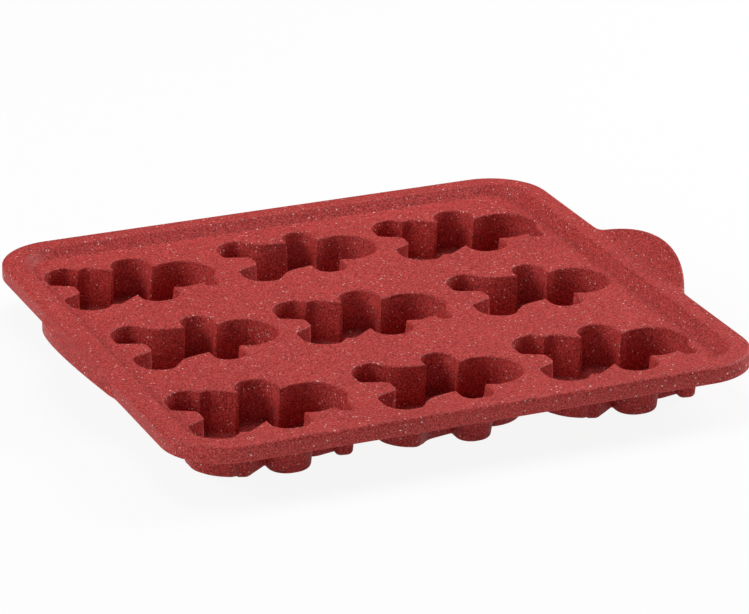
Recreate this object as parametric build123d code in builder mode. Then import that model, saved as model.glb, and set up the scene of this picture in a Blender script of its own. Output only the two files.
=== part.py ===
from build123d import *
from math import atan2, degrees, radians, tan
import os

# Silicone baking mould with nine figure-shaped cups in a three by three lattice.
# X runs along the front edge, Y from front to back, Z up from the surface it stands on.
# Every size is in millimetres.

# Body of the pan, without the handles
pan_length = 268.0
pan_width = 260.0
corner_radius = 28.0
cup_pitch = 80.0
seam_shift = -1.2

# Heights above the surface that the cups stand on
cup_height = 21.0
rim_rise = 5.0

# Thicknesses of the silicone
deck_thickness = 2.0
wall = 1.8
floor_thickness = 1.8

# Section of the rim
rim_height = 7.5
rim_width = 9.5
rim_slope_run = 4.0
rim_edge_round = 2.5
rim_inner_round = 1.5
rim_under_round = 0.8

# Steel wire frame that is moulded into the rim
wire_diameter = 3.5
wire_inset = 4.75
wire_clearance = 0.05

# Handles at the two ends, which turn up from the rim
handle_half_span = 44.0
handle_reach = 11.6
handle_angle = 38.0
handle_bend_radius = 8.0
handle_root_flat = 3.0
handle_edge_round = 1.5

# Cups: draft of the walls, and how their edges are eased
draft = 3.0
mouth_chamfer = 0.8
base_chamfer = 2.4
floor_chamfer = 1.2

# Boy figure, lying along X with its head at +X, from the middle of its cell
boy_head_top = 35.7
boy_head_half = 15.3
boy_head_round = 15.0
boy_temple_x = 18.4
boy_neck_half = 13.2
boy_arm_centre = 6.3
boy_arm_width = 14.2
boy_arm_reach = 27.0
boy_waist_half = 15.4
boy_knee_x = -15.0
boy_knee_half = 19.5
boy_knee_round = 12.0
boy_hip_x = -21.5
boy_hip_round = 4.0
boy_leg_reach = 27.0
boy_leg_round = 10.4
boy_foot_x = -34.4
boy_foot_inner = 9.0
boy_crotch_x = -22.8
boy_crotch_half = 4.5

# Girl figure, which has a skirt over shorter legs and a hair bow
girl_head_top = 35.2
girl_head_half = 15.6
girl_head_round = 14.0
girl_temple_x = 16.7
girl_neck_half = 13.4
girl_arm_centre = 2.9
girl_arm_width = 17.6
girl_arm_reach = 27.6
girl_waist_half = 15.6
girl_skirt_x = -15.0
girl_skirt_half = 23.7
girl_skirt_round = 2.6
girl_hem_x = -21.0
girl_hem_half = 23.2
girl_calf_x = -26.0
girl_calf_round = 3.0
girl_leg_reach = 27.6
girl_leg_round = 10.8
girl_foot_x = -38.5
girl_foot_inner = 9.3
girl_crotch_x = -28.8
girl_crotch_half = 4.3

# Rounds that both figures share, the part of an arm's width that rounds its hand, and
# the turn from one flat facet of a round to the next
crotch_round = 3.8
heel_round = 2.6
temple_round = 8.0
hand_share = 0.45
facet_turn = 30.0

# Hair bow at one side of the girl's head: its upper loop, knot and lower loop
bow_upper = (35.9, -2.0)
bow_knot = (32.4, -9.4)
bow_lower_out = (32.2, -19.6)
bow_lower_in = (25.8, -18.6)
bow_root = (26.2, -13.8)
bow_round = 2.2

# Places worked out from the sizes above
deck_top = cup_height
rim_top = deck_top + rim_rise
rim_bottom = rim_top - rim_height
slope_foot = rim_width + rim_slope_run
deck_length = pan_length - 2 * slope_foot
deck_width = pan_width - 2 * slope_foot
deck_radius = corner_radius - slope_foot
mouth_length = pan_length - 2 * rim_width
mouth_width = pan_width - 2 * rim_width
mouth_radius = corner_radius - rim_width
wire_height = rim_bottom + rim_height / 2


def boy_corners():
    """Corners of the boy's outline with their rounds, clockwise from between the legs."""
    arm_in = boy_arm_centre - boy_arm_width / 2
    arm_out = boy_arm_centre + boy_arm_width / 2
    hand_round = boy_arm_width * hand_share
    side = [
        (boy_crotch_x, boy_crotch_half, crotch_round),
        (boy_foot_x, boy_foot_inner, heel_round),
        (boy_foot_x, boy_leg_reach, boy_leg_round),
        (boy_hip_x, boy_leg_reach, boy_hip_round),
        (boy_knee_x, boy_knee_half, boy_knee_round),
        (arm_in, boy_waist_half, 0),
        (arm_in, boy_arm_reach, hand_round),
        (arm_out, boy_arm_reach, hand_round),
        (arm_out, boy_neck_half, 0),
        (boy_temple_x, boy_head_half, temple_round),
    ]
    crown = [
        (boy_head_top, boy_head_half, boy_head_round),
        (boy_head_top, -boy_head_half, boy_head_round),
    ]
    return side + crown + [(x, -y, r) for x, y, r in reversed(side)]


def girl_corners():
    """Corners of the girl's outline with their rounds, clockwise from between the legs."""
    arm_in = girl_arm_centre - girl_arm_width / 2
    arm_out = girl_arm_centre + girl_arm_width / 2
    hand_round = girl_arm_width * hand_share
    side = [
        (girl_crotch_x, girl_crotch_half, crotch_round),
        (girl_foot_x, girl_foot_inner, heel_round),
        (girl_foot_x, girl_leg_reach, girl_leg_round),
        (girl_calf_x, girl_leg_reach, girl_calf_round),
        (girl_hem_x, girl_hem_half, 0),
        (girl_skirt_x, girl_skirt_half, girl_skirt_round),
        (arm_in, girl_waist_half, 0),
        (arm_in, girl_arm_reach, hand_round),
        (arm_out, girl_arm_reach, hand_round),
        (arm_out, girl_neck_half, 0),
        (girl_temple_x, girl_head_half, temple_round),
    ]
    crown = [
        (girl_head_top, girl_head_half, girl_head_round),
        (*bow_upper, bow_round),
        (*bow_knot, 0),
        (*bow_lower_out, bow_round),
        (*bow_lower_in, bow_round),
        (*bow_root, 0),
    ]
    return side + crown + [(x, -y, r) for x, y, r in reversed(side)]


def section(corners, inset, height):
    """The outline moved inwards by inset, as a face at the given height with faceted rounds."""
    points = [Vector(x, y) for x, y, r in corners]
    outline = []
    for i, (x, y, corner_round) in enumerate(corners):
        before = (points[i] - points[i - 1]).normalized()
        after = (points[(i + 1) % len(points)] - points[i]).normalized()
        turn = degrees(atan2(before.cross(after).Z, before.dot(after)))
        inward = before.rotate(Axis.Z, -90)
        moved = points[i] + (inward + after.rotate(Axis.Z, -90)) * (inset / (1 + before.dot(after)))
        if not corner_round:
            outline.append(moved)
            continue
        radius = corner_round - inset if turn < 0 else corner_round + inset
        start = moved - before * (radius * tan(radians(abs(turn) / 2)))
        centre = start + inward * (radius if turn < 0 else -radius)
        facets = max(1, round(abs(turn) / facet_turn))
        for k in range(facets + 1):
            outline.append(centre + (start - centre).rotate(Axis.Z, turn * k / facets))
    with BuildSketch(Plane.XY.offset(height)) as face:
        with BuildLine():
            Polyline(*outline, close=True)
        make_face()
    return face.sketch


def cup_outside(corners):
    """Outer body of a cup, from its eased base up to the top of the deck."""
    drawn_in = (cup_height - base_chamfer) * tan(radians(draft)) - wall
    with BuildPart() as outside:
        add(section(corners, drawn_in + base_chamfer, 0))
        add(section(corners, drawn_in, base_chamfer))
        add(section(corners, -wall, deck_top))
        loft(ruled=True)
    return outside.part


def cup_cavity(corners):
    """Hollow of a cup, from its floor up to its eased mouth at the top of the deck."""
    foot = floor_thickness + floor_chamfer
    lip = deck_top - mouth_chamfer
    drawn_in = (lip - foot) * tan(radians(draft))
    with BuildPart() as cavity:
        add(section(corners, drawn_in + floor_chamfer, floor_thickness))
        add(section(corners, drawn_in, foot))
        add(section(corners, 0, lip))
        add(section(corners, -mouth_chamfer, deck_top))
        loft(ruled=True)
    return cavity.part


# One cup and the square of deck round it, for each place in the lattice
figures = {"boy": boy_corners(), "girl": girl_corners()}
outsides = {kind: cup_outside(corners) for kind, corners in figures.items()}
cavities = {kind: cup_cavity(corners) for kind, corners in figures.items()}

places = {
    "girl_cup_front_left": (-1, -1),
    "boy_cup_front": (0, -1),
    "girl_cup_front_right": (1, -1),
    "boy_cup_left": (-1, 0),
    "girl_cup_centre": (0, 0),
    "boy_cup_right": (1, 0),
    "girl_cup_back_left": (-1, 1),
    "boy_cup_back": (0, 1),
    "girl_cup_back_right": (1, 1),
}


def tile_span(step, whole, shift):
    """Middle and size of a lattice place along one axis, out to the edge of the deck."""
    low = shift - cup_pitch / 2 if step >= 0 else -whole / 2
    high = shift + cup_pitch / 2 if step <= 0 else whole / 2
    if step > 0:
        low += cup_pitch
    if step < 0:
        high -= cup_pitch
    return (low + high) / 2, high - low


def make_cup(name, column, row):
    """A cup with its share of the deck."""
    kind = name.split("_")[0]
    middle_x, size_x = tile_span(column, deck_length, seam_shift)
    middle_y, size_y = tile_span(row, deck_width, 0)
    place = Location((column * cup_pitch, row * cup_pitch, 0))
    with BuildPart() as cup:
        with BuildSketch(Plane.XY.offset(deck_top - deck_thickness)):
            with Locations((middle_x, middle_y)):
                Rectangle(size_x, size_y)
            RectangleRounded(deck_length, deck_width, deck_radius, mode=Mode.INTERSECT)
        extrude(amount=deck_thickness)
        add(outsides[kind].moved(place))
        add(cavities[kind].moved(place), mode=Mode.SUBTRACT)
    cup.part.label = name
    return cup.part


# Handle profile seen along Y: flat where it leaves the rim, then turned up
handle_root_x = pan_length / 2 - rim_edge_round
handle_tip_x = pan_length / 2 + handle_reach
handle_bend_x = handle_root_x + handle_root_flat


def make_handle(name, side):
    """A handle lobe, with side +1 at the right end and -1 at the left end."""
    handle_slope = Vector(1, 0).rotate(Axis.Z, handle_angle)
    rise = (handle_tip_x - handle_bend_x) * handle_slope.Y / handle_slope.X
    with BuildPart() as handle:
        with BuildSketch(Plane.XY.offset(rim_bottom)):
            with BuildLine():
                ThreePointArc(
                    (pan_length / 2, -handle_half_span),
                    (handle_tip_x, 0),
                    (pan_length / 2, handle_half_span),
                )
                Polyline(
                    (pan_length / 2, handle_half_span),
                    (handle_root_x, handle_half_span),
                    (handle_root_x, -handle_half_span),
                    (pan_length / 2, -handle_half_span),
                )
            make_face()
        extrude(amount=rim_height + rise)
        with BuildSketch(Plane.XZ) as section:
            with BuildLine():
                top = FilletPolyline(
                    (handle_root_x, rim_top),
                    (handle_bend_x, rim_top),
                    (handle_tip_x, rim_top + rise),
                    radius=[handle_bend_radius],
                )
                under = FilletPolyline(
                    (handle_root_x, rim_bottom),
                    (handle_bend_x, rim_bottom),
                    (handle_tip_x, rim_bottom + rise),
                    radius=[handle_bend_radius],
                )
                Line(top @ 0, under @ 0)
                Line(top @ 1, under @ 1)
            make_face()
        extrude(amount=handle_half_span, both=True, mode=Mode.INTERSECT)
        fillet(handle.edges().filter_by(GeomType.LINE, reverse=True), radius=handle_edge_round)
    lobe = handle.part if side > 0 else handle.part.mirror(Plane.YZ)
    lobe.label = name
    return lobe


# Closed loop of steel wire that stiffens the rim
wire_length = pan_length - 2 * wire_inset
wire_width = pan_width - 2 * wire_inset
wire_corner = corner_radius - wire_inset


def wire_loop(radius):
    """A round bar of the given radius along the loop of the rim."""
    with BuildPart() as loop:
        with BuildSketch(Plane.XY.offset(wire_height), mode=Mode.PRIVATE) as track:
            RectangleRounded(wire_length, wire_width, wire_corner)
        path = track.sketch.face().outer_wire()
        with BuildSketch(Plane(origin=path @ 0, z_dir=path % 0)):
            Circle(radius)
        sweep(path=path)
    return loop.part


steel_frame = wire_loop(wire_diameter / 2)
steel_frame.label = "steel_frame"
wire_pocket = wire_loop(wire_diameter / 2 + wire_clearance)

handle_left = make_handle("handle_left", -1)
handle_right = make_handle("handle_right", 1)

# Raised rim round the deck, with the frame moulded inside it
with BuildPart() as rim:
    with BuildSketch(Plane.XY.offset(rim_bottom)):
        RectangleRounded(pan_length, pan_width, corner_radius)
    extrude(amount=rim_height)
    fillet(rim.faces().sort_by(Axis.Z)[-1].edges(), radius=rim_edge_round)
    fillet(rim.faces().sort_by(Axis.Z)[0].edges(), radius=rim_under_round)
    with BuildSketch(Plane.XY.offset(rim_bottom)):
        RectangleRounded(deck_length, deck_width, deck_radius)
    extrude(amount=deck_top - rim_bottom, mode=Mode.SUBTRACT)
    with BuildSketch(Plane.XY.offset(deck_top)):
        RectangleRounded(deck_length, deck_width, deck_radius)
    with BuildSketch(Plane.XY.offset(rim_top)):
        RectangleRounded(mouth_length, mouth_width, mouth_radius)
    loft(ruled=True, mode=Mode.SUBTRACT)
    lip = rim.faces().filter_by(Axis.Z).sort_by(Axis.Z)[-1]
    fillet(lip.inner_wires()[0].edges(), radius=rim_inner_round)
    for side in (-1, 1):
        with Locations((side * (handle_root_x + pan_length / 2) / 2, 0, rim_bottom + rim_height / 2)):
            Box(rim_edge_round, 2 * handle_half_span, rim_height, mode=Mode.SUBTRACT)
    add(wire_pocket, mode=Mode.SUBTRACT)
rim.part.label = "rim"

os.makedirs("parts", exist_ok=True)
export_step(rim.part, "parts/rim.step")
export_step(steel_frame, "parts/steel_frame.step")
export_step(handle_left, "parts/handle_left.step")
export_step(handle_right, "parts/handle_right.step")
for name, (column, row) in places.items():
    cup = make_cup(name, column, row)
    export_step(cup, f"parts/{name}.step")
    print(name, "volume", round(cup.volume), "valid", cup.is_valid)
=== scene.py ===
# %% [markdown]
# # A speckled silicone baking mould
# The real pan is one soft moulding: a flat deck with nine figure-shaped cups, a raised rim round it and a
# turned-up handle at each end. A steel wire is sealed inside the rim. We load the measured solids first,
# and every piece that we make is built in their frame, in metres, with Z up.

# %% Load the measured solids
import math

import bmesh
import bpy
from mathutils import Matrix, Vector


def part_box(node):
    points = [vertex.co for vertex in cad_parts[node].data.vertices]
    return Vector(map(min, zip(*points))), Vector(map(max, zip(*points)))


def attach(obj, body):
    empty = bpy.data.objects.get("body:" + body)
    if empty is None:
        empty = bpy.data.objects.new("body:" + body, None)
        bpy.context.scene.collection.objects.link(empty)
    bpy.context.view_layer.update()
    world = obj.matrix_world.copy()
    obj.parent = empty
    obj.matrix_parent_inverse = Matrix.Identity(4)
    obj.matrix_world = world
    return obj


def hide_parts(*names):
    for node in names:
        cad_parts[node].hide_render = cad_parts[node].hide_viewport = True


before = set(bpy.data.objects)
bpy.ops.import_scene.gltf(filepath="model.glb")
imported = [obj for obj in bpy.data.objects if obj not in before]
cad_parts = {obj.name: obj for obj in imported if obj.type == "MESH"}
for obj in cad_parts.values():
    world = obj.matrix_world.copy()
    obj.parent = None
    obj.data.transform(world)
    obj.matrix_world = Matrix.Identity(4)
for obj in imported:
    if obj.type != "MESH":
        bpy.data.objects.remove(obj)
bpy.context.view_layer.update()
MM = 0.001

# %% [markdown]
# ## Reading sizes from the solids
# The rim's box gives the pan's length and width and the top of the rim. One cup's box gives the deck's
# height, since the cups stand on the ground and end at the deck. The rim's width is measured from its outer
# edge to the foot of its inner slope.

# %% Sizes of the pan, in millimetres
rim_low, rim_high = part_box("rim")
cup_low, cup_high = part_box("girl_cup_centre")
half_length, half_width = rim_high.x / MM, rim_high.y / MM
rim_top, rim_bottom = rim_high.z / MM, rim_low.z / MM
deck_top = cup_high.z / MM
deck_thickness = 2.0
deck_under = deck_top - deck_thickness
handle_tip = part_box("handle_right")[1].x / MM
corner_radius = 28.0
rim_width = 13.5
cup_pitch = 80.0
print(f"deck at {deck_top:.1f}, rim {rim_bottom:.1f} to {rim_top:.1f}, handle tip at {handle_tip:.1f}")

# %% [markdown]
# ## Rounded corners
# Both the figures and the rim's section are paths of straight lines with rounded corners. One helper turns
# corners with a radius into points along the arcs. It can also move the whole path sideways, which draws the
# same figure larger or smaller, and it gives the same number of points each time, so rings can be joined.


# %% Points along a path with rounded corners
smallest_radius = 0.12


def moved_corners(corners, grow):
    """A closed clockwise path of (x, y, radius), moved outwards by grow."""
    points = [Vector(c[:2]) for c in corners]
    moved = []
    for i, (x, y, radius) in enumerate(corners):
        into = (points[i] - points[i - 1]).normalized()
        away = (points[(i + 1) % len(points)] - points[i]).normalized()
        left_in, left_away = Vector((-into.y, into.x)), Vector((-away.y, away.x))
        spot = points[i] + (left_in + left_away) * (grow / (1 + left_in.dot(left_away)))
        convex = into.x * away.y - into.y * away.x < 0
        moved.append((spot.x, spot.y, max(radius + (grow if convex else -grow), smallest_radius)))
    return moved


def round_corner(before, corner, after, radius, steps):
    """Points of the arc that rounds one corner."""
    into, away = (corner - before).normalized(), (after - corner).normalized()
    turn = into.angle_signed(away)
    reach = radius * math.tan(abs(turn) / 2)
    side = -1 if turn > 0 else 1
    centre = corner - into * reach + Vector((-into.y, into.x)) * radius * side
    start = corner - into * reach - centre
    return [centre + Matrix.Rotation(-turn * k / steps, 2) @ start for k in range(steps + 1)]


def arc_steps(corners, i, finest=9.0):
    """How many steps the arc at a corner needs, from how far the path turns there."""
    a, b, c = (Vector(corners[k % len(corners)][:2]) for k in (i - 1, i, i + 1))
    turn = math.degrees(abs((b - a).angle_signed(c - b)))
    return max(2, round(turn / finest))


def closed_ring(corners, grow):
    """Points of the rounded outline, moved outwards by grow."""
    moved = moved_corners(corners, grow)
    spots = [Vector(c[:2]) for c in moved]
    count = len(spots)
    turns = []
    for i in range(count):
        into = (spots[i] - spots[i - 1]).normalized()
        away = (spots[(i + 1) % count] - spots[i]).normalized()
        turns.append(math.tan(abs(into.angle_signed(away)) / 2))
    radii = [c[2] for c in moved]
    for i in range(count):
        j = (i + 1) % count
        room = (spots[j] - spots[i]).length * 0.99
        used = radii[i] * turns[i] + radii[j] * turns[j]
        if used > room:
            radii[i] *= room / used
            radii[j] *= room / used
    ring = []
    for i in range(count):
        ring += round_corner(spots[i - 1], spots[i], spots[(i + 1) % count], radii[i], arc_steps(corners, i))
    return ring


test_ring = closed_ring([(-5, -5, 2), (-5, 5, 2), (5, 5, 2), (5, -5, 2)], 1.0)
print("a 10 mm square, moved out by 1 mm, reaches", round(max(p.x for p in test_ring), 3))
print("it has", len(test_ring), "points")

# %% [markdown]
# ## The two figures
# Each figure lies along X with its head at +X and is symmetric about its own axis. Only the girl's hair bow
# breaks the symmetry. A drawn curve could hold the outline too, but with corners and radii in a list, each limb
# can be changed by one number. We write half of each outline and mirror it.


# %% Outlines of the boy and the girl
def mirrored(side, crown):
    """A whole outline from one side, the crown of the head and the mirrored side."""
    return side + crown + [(x, -y, r) for x, y, r in reversed(side)]


def limb(centre, width, root_in, root_out, reach):
    """An arm that sticks out sideways, rounded at its hand."""
    low, high, hand = centre - width / 2, centre + width / 2, width * 0.45
    return [(low, root_in, 0.5), (low, reach, hand), (high, reach, hand), (high, root_out, 0.5)]


boy = mirrored(
    [(-22.8, 4.5, 3.8), (-34.4, 9.0, 2.6), (-34.4, 27.0, 10.4), (-21.5, 27.0, 4.0), (-14.0, 18.0, 12.0)]
    + limb(6.3, 14.2, 15.4, 13.4, 27.2) + [(18.4, 15.7, 8.0)],
    [(35.7, 15.7, 15.0), (35.7, -15.7, 15.0)],
)
girl = mirrored(
    [(-28.8, 4.3, 3.8), (-38.5, 9.3, 2.6), (-38.5, 27.6, 10.8), (-24.8, 27.4, 2.6), (-20.6, 23.2, 0.5),
     (-17.0, 24.6, 2.2)]
    + limb(2.9, 17.6, 16.0, 13.8, 28.1) + [(16.7, 16.0, 8.0)],
    [(35.2, 16.0, 14.0), (35.9, -2.0, 2.2), (32.4, -9.4, 0.5), (32.2, -19.6, 2.2), (25.8, -18.6, 2.2),
     (26.2, -13.8, 0.5)],
)
print("boy", len(boy), "corners, girl", len(girl), "corners")

# %% [markdown]
# ## Walls as rings
# Cups could be cut out of a block with a boolean, but their edges would then be sharp, and a bevel would break
# at the small notches. So a cup is a stack of rings: the same outline, drawn smaller as it goes down because
# the walls have a draft for demoulding. Each edge that is round on the real pan is a few rings close together.
# A ring just outside each round keeps the flat faces flat when the surface is shaded smooth.

# %% Sections of a cup, as pairs of growth and height
draft = math.tan(math.radians(3))
mouth_round, floor_round, base_round, root_round = 1.0, 1.4, 1.8, 1.0
floor_height, wall = 1.2, 1.8


def quarter(grow, height, radius, start, end, steps=5):
    """Growth and height along an arc about a point, with angles from the outward direction."""
    angles = [math.radians(start + (end - start) * k / steps) for k in range(steps + 1)]
    return [(grow + radius * math.cos(a), height + radius * math.sin(a)) for a in angles]


def inside_section():
    """From the deck down the mouth's round, the wall and the floor's round."""
    drop = -(deck_top - mouth_round - floor_height - floor_round) * draft
    return (
        [(mouth_round + 0.2, deck_top)]
        + quarter(mouth_round, deck_top - mouth_round, mouth_round, 90, 180)
        + quarter(drop - floor_round, floor_height + floor_round, floor_round, 0, -90)
        + [(drop - floor_round - 0.3, floor_height)]
    )


def outside_section():
    """From the deck's underside down the root, the outer wall and the round of the base."""
    drop = wall - (deck_top - base_round) * draft
    return (
        [(wall + root_round + 0.3, deck_under)]
        + quarter(wall + root_round - 0.1, deck_under - root_round, root_round, 90, 180)
        + quarter(drop - base_round, base_round, base_round, 0, -90, 7)
        + [(drop - base_round - 0.3, 0.0)]
    )


print("inside rings:", len(inside_section()), "outside rings:", len(outside_section()))


# %% [markdown]
# ## Joining rings
# A small mesh helper adds a ring of points and joins it to the one before. The flat places are filled last,
# from their edges, so that the deck can be filled round all nine mouths at once.

# %% Helpers that grow the mesh
skin = bmesh.new()


def add_ring(points, height, centre=(0, 0)):
    """Adds a ring of vertices. A height can be one number or one for each point."""
    heights = height if isinstance(height, list) else [height] * len(points)
    return [
        skin.verts.new(((p.x + centre[0]) * MM, (p.y + centre[1]) * MM, h * MM))
        for p, h in zip(points, heights)
    ]


def join_rings(a, b):
    """A band of four-sided faces between two rings of as many points."""
    for i in range(len(a)):
        j = (i + 1) % len(a)
        skin.faces.new((a[i], a[j], b[j], b[i]))


def ring_edges(ring):
    """The edges that run round a ring."""
    edges = []
    for i in range(len(ring)):
        pair = (ring[i], ring[(i + 1) % len(ring)])
        edges.append(skin.edges.get(pair) or skin.edges.new(pair))
    return edges


def fill(*rings):
    """Fills the flat space that the rings bound."""
    edges = [e for ring in rings for e in ring_edges(ring)]
    made = bmesh.ops.triangle_fill(skin, edges=edges, use_beauty=True, use_dissolve=False)
    return [g for g in made["geom"] if isinstance(g, bmesh.types.BMFace)]


# %% [markdown]
# ## The nine cups
# Girls stand at the corners and in the middle, boys between them. The bases stand on an even lattice. The real
# pan is soft, and its mouths sit a little off that lattice, some more than others, so each ring is moved by a
# share of its height. The legs are shallower than the body, so their rings are lifted towards the toes. Each
# cup keeps its top rings open, one for the deck above and one for the deck below.

# %% Build the cups
boy_toes, girl_toes = (-17.0, 15.0, 3.0), (-20.5, 16.0, 4.5)  # where the lift starts, its run and its rise
mouth_move_x = 0.8
mouth_moves_y = {
    (-1, 1): -2.6, (0, 1): 0.2, (1, 1): -2.6,
    (-1, 0): -0.6, (0, 0): -1.0, (1, 0): -0.2,
    (-1, -1): -0.6, (0, -1): -2.6, (1, -1): -0.4,
}


def toe_height(point, height, start, run, rise):
    """A height in the cup, lifted towards the toes, where the legs are shallower than the body."""
    share = min(max((start - point.x) / run, 0.0), 1.0)
    return height + rise * math.sqrt(share) * (1 - height / deck_top)


mouths, roots = [], []
for column in (-1, 0, 1):
    for row in (-1, 0, 1):
        figure = girl if (column + row) % 2 == 0 else boy
        toes = girl_toes if figure is girl else boy_toes
        for section, open_rings in ((inside_section(), mouths), (outside_section(), roots)):
            rings = []
            for grow, height in section:
                ring = closed_ring(figure, grow)
                level = height / deck_top
                centre = (
                    column * cup_pitch + mouth_move_x * level,
                    row * cup_pitch + mouth_moves_y[column, row] * level,
                )
                rings.append(add_ring(ring, [toe_height(p, height, *toes) for p in ring], centre))
            for upper, lower in zip(rings, rings[1:]):
                join_rings(upper, lower)
            open_rings.append(rings[0])
            fill(rings[-1])
print("cups:", len(mouths), "faces so far:", len(skin.faces))

# %% [markdown]
# ## The rim and its handles
# A section swept along the rim would leave the handles as pieces of their own, with a seam that the real
# moulding doesn't have. So the rim is another stack of rings, from the foot of its inner slope over the top,
# round the outer edge and back underneath. At each end the outer rings are pulled out into a lobe and turned
# up, which gives the handle the same skin as the rim. The deck is then filled round all nine mouths.

# %% The rim's section and the shape of a handle
lobe_half, lobe_reach = 44.0, handle_tip - half_length
lobe_fade = 8.0
bend_radius, bend_angle = 8.0, math.radians(38)
bend_start = half_length - 2.25
lobe_steps = 7


def lobe(y):
    """How far the handle reaches out from the rim: an arc that fades softly into the straight edge."""
    radius = (lobe_half ** 2 + lobe_reach ** 2) / (2 * lobe_reach)
    arc = math.sqrt(radius ** 2 - y ** 2) - radius + lobe_reach
    return (arc + math.sqrt(arc ** 2 + 1.0)) / 2 - 0.02


def lift(x, reach):
    """How far the handle has turned up at a distance x from the pan's middle."""
    run = x - bend_start
    if run <= 0:
        return 0.0
    arc_run = bend_radius * math.sin(bend_angle)
    if run < arc_run:
        rise = bend_radius - math.sqrt(bend_radius ** 2 - run ** 2)
    else:
        rise = bend_radius * (1 - math.cos(bend_angle)) + (run - arc_run) * math.tan(bend_angle)
    share = min(reach / 3.0, 1.0)
    return rise * share * share * (3 - 2 * share)


def path_points(corners, steps=4):
    """An open path of (x, y, radius) with its corners rounded."""
    spots = [Vector(c[:2]) for c in corners]
    points = [spots[0]]
    for i in range(1, len(spots) - 1):
        points += round_corner(spots[i - 1], spots[i], spots[i + 1], corners[i][2], steps)
    return [(p.x, p.y) for p in points + [spots[-1]]]


slope_run, crest, underside = 4.0, 9.2, 10.4
foot_round, crest_round, edge_round, under_round = 1.6, 1.5, 1.8, 0.8
inner_path = path_points(
    [(-0.8, deck_top, 0), (0, deck_top, foot_round), (slope_run, rim_top, crest_round), (9.0, rim_top, 0)], 5
)
outer_path = path_points(
    [(crest, rim_top, 0), (rim_width, rim_top, edge_round), (rim_width, rim_bottom, under_round),
     (underside, rim_bottom, 0)], 6
)
print("rim rings:", len(inner_path) + len(outer_path))


# %% Build the rim
corner_steps, handle_side_steps, plain_side_steps = 12, 136, 40


def rim_ring(grow):
    """A rounded rectangle round the deck, with close points where the handles are."""
    x, y = half_length - rim_width + grow, half_width - rim_width + grow
    radius = corner_radius - rim_width + grow
    points = []
    for corner, (sx, sy) in enumerate(((1, 1), (1, -1), (-1, -1), (-1, 1))):
        centre = Vector((sx * (x - radius), sy * (y - radius)))
        begin = 90 - 90 * corner
        for k in range(corner_steps + 1):
            a = math.radians(begin - 90 * k / corner_steps)
            points.append(centre + Vector((math.cos(a), math.sin(a))) * radius)
        straight = 2 * ((y if corner % 2 == 0 else x) - radius)
        steps = handle_side_steps if corner % 2 == 0 else plain_side_steps
        step = Vector((0, -sx)) if corner % 2 == 0 else Vector((sy, 0))
        start = points[-1]
        points += [start + step * (straight * k / steps) for k in range(1, steps)]
    return points


def pull_out(points, height, share):
    """The ring with the handles' lobes pulled out and turned up."""
    moved, heights = [], []
    for p in points:
        on_lobe = abs(p.x) > half_length - 20 and abs(p.y) < lobe_half + lobe_fade
        reach = lobe(p.y) if on_lobe else 0.0
        x = abs(p.x) + reach * share
        heights.append(height + lift(x, reach))
        moved.append(Vector((math.copysign(x, p.x), p.y)))
    return moved, heights


rim_rings = [add_ring(rim_ring(grow), height) for grow, height in inner_path]
for k in range(lobe_steps):
    near = crest + 1.7 * k / lobe_steps
    rim_rings.append(add_ring(*pull_out(rim_ring(near), rim_top, k / lobe_steps)))
for grow, height in outer_path[1:-1]:
    rim_rings.append(add_ring(*pull_out(rim_ring(grow), height, 1.0)))
for k in range(lobe_steps):
    near = 12.5 - 2.0 * k / lobe_steps
    rim_rings.append(add_ring(*pull_out(rim_ring(near), rim_bottom, 1 - (k + 1) / lobe_steps)))
for grow, height in ((0.4, rim_bottom), (0.0, rim_bottom), (0.0, deck_under), (-0.4, deck_under)):
    rim_rings.append(add_ring(rim_ring(grow), height))
for inner, outer in zip(rim_rings, rim_rings[1:]):
    join_rings(inner, outer)
top_faces = fill(rim_rings[0], *mouths)
under_faces = fill(rim_rings[-1], *roots)
print("deck faces:", len(top_faces), "and", len(under_faces), "below")

# %% Turn the mesh into an object
bmesh.ops.recalc_face_normals(skin, faces=skin.faces[:])
loose = [e for e in skin.edges if len(e.link_faces) != 2]
mesh = bpy.data.meshes.new("silicone_moulding")
skin.to_mesh(mesh)
skin.free()
mesh.shade_smooth()
moulding = bpy.data.objects.new("silicone_moulding", mesh)
bpy.context.scene.collection.objects.link(moulding)
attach(moulding, "root")
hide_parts(*[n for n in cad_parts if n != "steel_frame"])
print("moulding:", len(mesh.vertices), "vertices,", len(mesh.polygons), "faces,", len(loose), "open edges")

# %% [markdown]
# ## Writing shader maths as sums
# A material is a web of nodes, and a wall of node-making lines is hard to read. This small class wraps one
# socket, so that sums in Python add Math nodes. Its node method adds any other node.


# %% A socket that can be used in sums
class Value:
    """One output socket of a material's nodes."""

    def __init__(self, socket):
        self.socket = socket
        self.tree = socket.id_data

    def node(self, kind, settings, sockets, out=0):
        """Adds a node: its settings first, then the values or links of its sockets."""
        made = self.tree.nodes.new(kind)
        for name, value in settings.items():
            setattr(made, name, value)
        for key, value in sockets.items():
            if isinstance(value, Value):
                self.tree.links.new(value.socket, made.inputs[key])
            else:
                made.inputs[key].default_value = value
        return Value(made.outputs[out])

    def math(self, operation, a, b, clamp=False):
        return self.node("ShaderNodeMath", {"operation": operation, "use_clamp": clamp}, {0: a, 1: b})

    def __add__(self, other):
        return self.math("ADD", self, other)

    def __radd__(self, other):
        return self.math("ADD", other, self)

    def __sub__(self, other):
        return self.math("SUBTRACT", self, other)

    def __rsub__(self, other):
        return self.math("SUBTRACT", other, self)

    def __mul__(self, other):
        return self.math("MULTIPLY", self, other)

    def __rmul__(self, other):
        return self.math("MULTIPLY", other, self)

    def clamp(self):
        return self.math("ADD", self, 0.0, True)

    def mix(self, low, high):
        """A colour that goes from low to high as this value goes from 0 to 1."""
        return self.node("ShaderNodeMix", {"data_type": "RGBA"}, {0: self, 6: low, 7: high}, 2)


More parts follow.
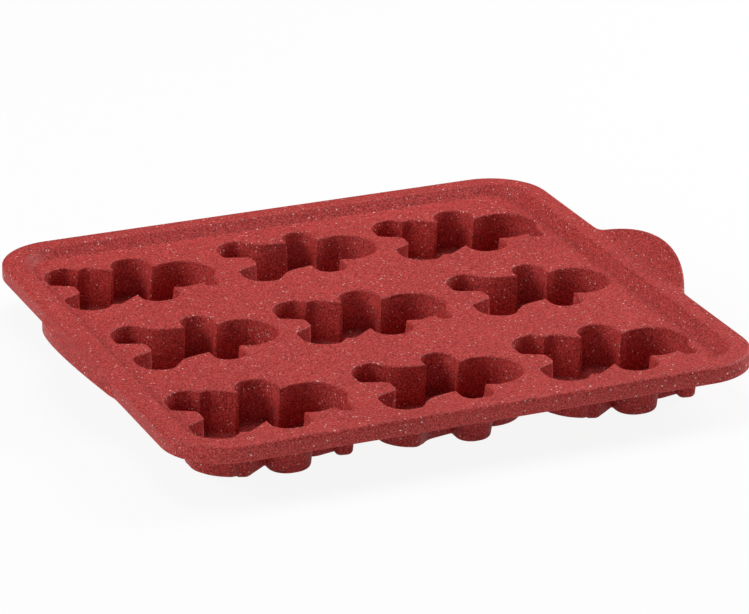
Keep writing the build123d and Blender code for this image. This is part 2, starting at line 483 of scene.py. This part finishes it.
def new_finish(name, roughness, **shader_values):
    """A material with its Principled shader and the place on the object in metres."""
    finish = bpy.data.materials.new(name)
    finish.use_nodes = True
    shader = finish.node_tree.nodes["Principled BSDF"]
    shader.inputs["Roughness"].default_value = roughness
    for key, value in shader_values.items():
        shader.inputs[key.replace("_", " ")].default_value = value
    place = Value(finish.node_tree.nodes.new("ShaderNodeTexCoord").outputs["Object"])
    return finish, shader, place


def feed(value, shader, name):
    """Links a value to one of the shader's sockets."""
    value.tree.links.new(value.socket, shader.inputs[name])


# %% [markdown]
# ## Speckled silicone
# The silicone is a matte red with fine flakes through it, some pale, some nearly black, most of them under a
# millimetre. An image could hold them, but it would need unwrapping and would blur close up. A Voronoi texture
# gives each flake a cell of its own. We keep the cells whose random colour passes a limit, and show only the
# middle of each, with its shape bent by noise. A fine noise under the flakes gives the red its own grain.


# %% The silicone's finish
def flakes(place, size, radius, share, seed):
    """A mask of flakes: cells of the given size in metres, of which a share is kept."""
    adding = {"operation": "ADD"}
    shifted = place.node("ShaderNodeVectorMath", adding, {0: place, 1: (seed, seed * 0.7, seed * 1.3)})
    bent = place.node("ShaderNodeTexNoise", {}, {"Vector": shifted, "Scale": 1.6 / size, "Detail": 1.0}, 1)
    bend = place.node("ShaderNodeVectorMath", {"operation": "SCALE"}, {0: bent, "Scale": size * 0.9})
    spot = place.node("ShaderNodeVectorMath", adding, {0: shifted, 1: bend})
    settings = {"voronoi_dimensions": "3D", "feature": "F1"}
    sockets = {"Vector": spot, "Scale": 1 / size}
    distance = place.node("ShaderNodeTexVoronoi", settings, sockets)
    chance = place.node("ShaderNodeTexVoronoi", settings, sockets, 1)
    draw = place.node("ShaderNodeSeparateColor", {}, {0: chance})
    kept = ((draw - (1 - share)) * 60.0).clamp()
    return ((radius - distance) * 9.0).clamp() * kept


silicone, shader, place = new_finish("speckled silicone", 0.62, Specular_IOR_Level=0.3)
grain = place.node("ShaderNodeTexNoise", {}, {"Vector": place, "Scale": 1300.0, "Detail": 2.0})
cloud = place.node("ShaderNodeTexNoise", {}, {"Vector": place, "Scale": 28.0, "Detail": 2.0})
tone = ((grain - 0.5) * 3.4 + (cloud - 0.5) * 0.35 + 0.5).clamp()
red = tone.mix((0.25, 0.012, 0.011, 1), (0.60, 0.062, 0.055, 1))
dark = flakes(place, 0.0011, 0.42, 0.26, 0.31)
pale = flakes(place, 0.0012, 0.34, 0.08, 0.0)
fine = flakes(place, 0.0007, 0.42, 0.28, 0.57)
with_dark = (dark * 0.7).mix(red, (0.10, 0.010, 0.010, 1))
with_fine = (fine * 0.4).mix(with_dark, (0.78, 0.26, 0.23, 1))
with_pale = (pale * 0.8).mix(with_fine, (0.90, 0.62, 0.57, 1))
feed(with_pale, shader, "Base Color")
height = (grain * 0.00006) + (cloud * 0.0004)
bump = place.node("ShaderNodeBump", {}, {"Height": height, "Strength": 0.8, "Distance": 1.0})
feed(bump, shader, "Normal")
mesh.materials.append(silicone)
print("silicone nodes:", len(silicone.node_tree.nodes))

# %% [markdown]
# ## The steel frame
# The wire keeps the rim straight. It is hidden in the silicone, so its measured solid is good enough as it is.
# It gets a drawn-steel finish all the same, for anyone who lifts it out: fine noise varies its grey and its
# roughness, which reads as the marks of the die.

# %% The wire's finish
steel, shader, place = new_finish("drawn steel wire", 0.34, Metallic=1.0)
lines = place.node("ShaderNodeTexNoise", {}, {"Vector": place, "Scale": 1400.0, "Detail": 3.0})
feed(lines.mix((0.42, 0.42, 0.43, 1), (0.66, 0.66, 0.67, 1)), shader, "Base Color")
feed(lines * 0.2 + 0.24, shader, "Roughness")
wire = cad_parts["steel_frame"]
wire.data.materials.clear()
wire.data.materials.append(steel)
print("wire finish:", steel.name)

# %% [markdown]
# ## Floor, light and camera
# The floor is a wide pale sheet. The photo's ground is pure white, and more light on the pan would bleach it,
# so the floor itself looks close to white to the camera, to gloss and through glass, and keeps a soft shadow.
# The walls that face the ends of the pan are brighter than those that face the front. So a strong soft box
# stands at each end, with a weak one above and a weak low one in front, and the surround is dim.

# %% The floor
floor_mesh = bpy.data.meshes.new("floor")
far = 9.0
floor_mesh.from_pydata([(-far, -far, 0), (far, -far, 0), (far, far, 0), (-far, far, 0)], [], [(0, 1, 2, 3)])
floor = bpy.data.objects.new("floor", floor_mesh)
bpy.context.scene.collection.objects.link(floor)
floor.location.z = -0.0004
pale_floor, shader, place = new_finish("pale floor", 0.9)
shader.inputs["Base Color"].default_value = (0.86, 0.86, 0.86, 1)
nodes = pale_floor.node_tree.nodes
paths = nodes.new("ShaderNodeLightPath").outputs
straight, glossy, through = (Value(paths[f"Is {way} Ray"]) for way in ("Camera", "Glossy", "Transmission"))
seen = (straight + glossy + through).clamp()
glow = place.node("ShaderNodeEmission", {}, {"Color": (1, 1, 1, 1), "Strength": 1.0})
below = Value(nodes.new("ShaderNodeNewGeometry").outputs["Backfacing"])
clear = place.node("ShaderNodeBsdfTransparent", {}, {})
floor_whiteness = 0.9
lit = place.node("ShaderNodeMixShader", {}, {0: seen * floor_whiteness, 1: Value(shader.outputs[0]), 2: glow})
whole = place.node("ShaderNodeMixShader", {}, {0: below, 1: lit, 2: clear})
pale_floor.node_tree.links.new(whole.socket, nodes["Material Output"].inputs["Surface"])
floor_mesh.materials.append(pale_floor)
print("floor:", round(2 * far), "m wide")

# %% The surround and the lamps
world = bpy.data.worlds.new("surround")
bpy.context.scene.world = world
world.use_nodes = True
world.node_tree.nodes["Background"].inputs["Color"].default_value = (1, 1, 1, 1)
world.node_tree.nodes["Background"].inputs["Strength"].default_value = 0.08


def soft_box(name, place, target, size, power):
    """A square lamp that faces a point."""
    lamp = bpy.data.lights.new(name, "AREA")
    lamp.size, lamp.energy = size, power
    holder = bpy.data.objects.new(name, lamp)
    holder.location = place
    holder.rotation_euler = (Vector(target) - Vector(place)).to_track_quat("-Z", "Y").to_euler()
    bpy.context.scene.collection.objects.link(holder)
    print(name, "at", place, "with", power, "W")


soft_box("overhead soft box", (0.0, 0.3, 1.4), (0, 0, 0), 0.8, 7.5)
soft_box("right soft box", (1.35, 0.2, 0.85), (0, 0, 0.02), 0.8, 18.0)
soft_box("left soft box", (-1.35, 0.2, 0.85), (0, 0, 0.02), 0.8, 13.0)
soft_box("low front soft box", (-0.5, -1.7, 0.3), (0, 0, 0.02), 0.7, 5.0)

# %% [markdown]
# ## The camera
# The camera stands where the photographer's did. It was worked out from the even lattice of the cups and the
# straight edges of the rim, which look smaller with distance. A camera aimed by eye would be close, but then
# no edge could be compared with the photo. The lens is long, so the far side is hardly smaller than the near.

# %% The camera
azimuth, elevation, roll = (math.radians(v) for v in (22.588, 21.307, 0.228))
photo_width, focal_pixels = 749, 4271.5
camera_data = bpy.data.cameras.new("camera")
camera_data.sensor_fit = "HORIZONTAL"
camera_data.sensor_width = 36.0
camera_data.lens = focal_pixels / photo_width * camera_data.sensor_width
camera_data.clip_end = 50.0
camera = bpy.data.objects.new("camera", camera_data)
bpy.context.scene.collection.objects.link(camera)
camera.location = Vector((-671.004, -1621.917, 707.963)) * MM
turn = Matrix.Rotation(-azimuth, 3, "Z") @ Matrix.Rotation(math.pi / 2 - elevation, 3, "X")
camera.rotation_euler = (turn @ Matrix.Rotation(-roll, 3, "Z")).to_euler()
bpy.context.scene.camera = camera
bpy.context.scene.view_settings.view_transform = "Standard"
print("lens:", round(camera_data.lens, 1), "mm")
